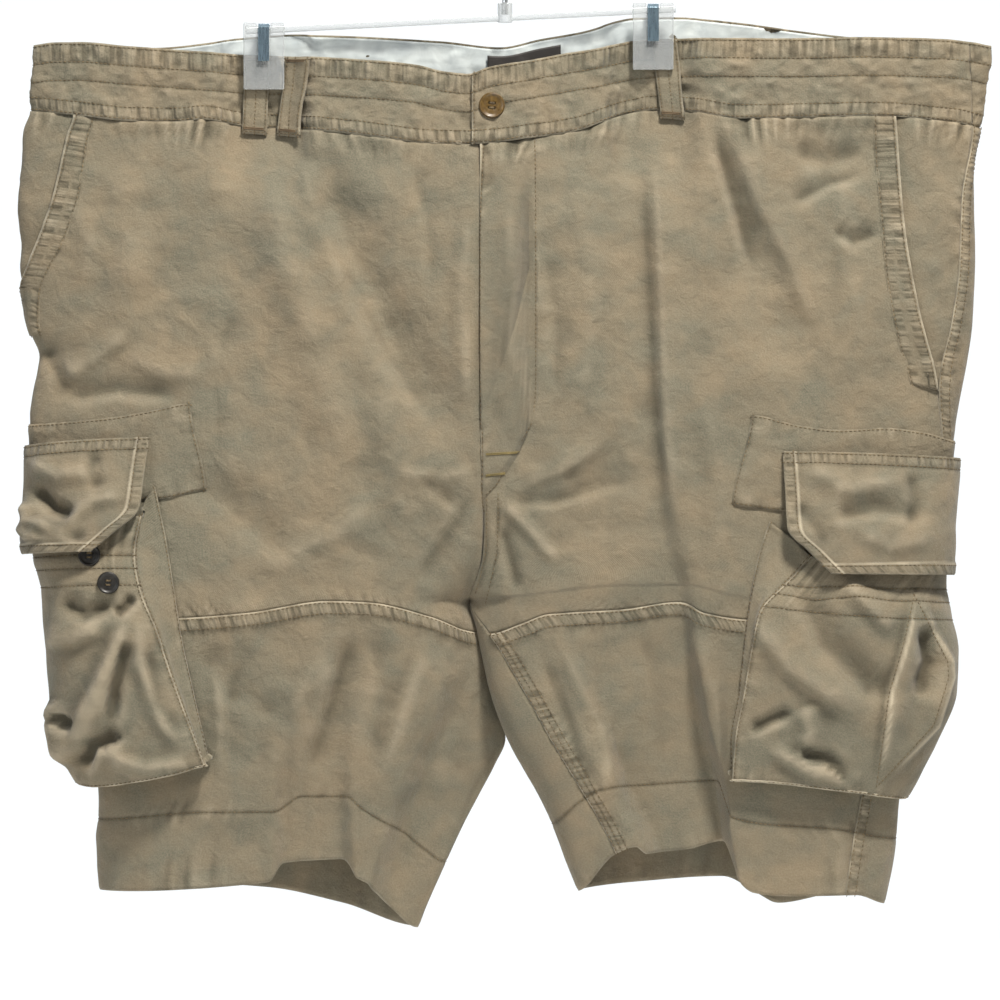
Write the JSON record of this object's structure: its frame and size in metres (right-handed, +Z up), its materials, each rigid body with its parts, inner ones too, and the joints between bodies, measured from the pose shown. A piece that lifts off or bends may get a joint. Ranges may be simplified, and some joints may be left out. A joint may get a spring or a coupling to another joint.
{
  "type": "cargo shorts on a clip hanger",
  "caption": "Wide knee-length cotton cargo shorts hanging from a clip hanger, with bellows cargo pockets, slanted hip pockets, a button fly and wide turned hems.",
  "frame": {"origin": "where the inside of the hanger's hook bears on a rod", "axes": "+Z up, front of the shorts faces -Y, +X is the viewer's right"},
  "size_m": [0.661, 0.0998, 0.7059],
  "materials": {
    "twill": "washed khaki cotton twill",
    "facing": "pale blue-white plain weave",
    "label": "bare dark woven label",
    "fly_button": "brown-olive button with a soft shine",
    "cargo_button": "near-black button with a soft shine",
    "clear_plastic": "clear moulded plastic",
    "spring_steel": "blue-grey spring steel",
    "hook_steel": "plain bright wire"
  },
  "bodies": {
    "root": {"front_upper_left": "twill", "front_lower_left": "twill", "front_upper_right": "twill", "front_lower_right": "twill", "back_left": "twill", "back_right": "twill", "slant_facing_left": "twill", "slant_welt_left": "twill", "slant_facing_right": "twill", "slant_welt_right": "twill", "fly_placket": "twill", "cargo_patch_left": "twill", "cargo_patch_right": "twill", "waistband_left": "twill", "waistband_right": "twill", "waistband_back": "twill", "waist_facing": "facing", "label_blank": "label", "belt_loop_front_left_outer": "twill", "belt_loop_front_left_inner": "twill", "belt_loop_front_right": "twill", "belt_loop_back_left": "twill", "belt_loop_back_centre": "twill", "belt_loop_back_right": "twill", "cargo_face_left": "twill", "cargo_gusset_left": "twill", "cargo_face_right": "twill", "cargo_gusset_right": "twill", "cargo_flap_left": "twill", "cargo_flap_right": "twill", "fly_button": "fly_button", "cargo_button_upper": "cargo_button", "cargo_button_lower": "cargo_button", "clip_left_jaw_front": "clear_plastic", "clip_left_jaw_back": "clear_plastic", "clip_left_spring": "spring_steel", "clip_right_jaw_front": "clear_plastic", "clip_right_jaw_back": "clear_plastic", "clip_right_spring": "spring_steel", "hanger_bar": "clear_plastic", "hanger_hook": "hook_steel"}
  },
  "joints": []
}
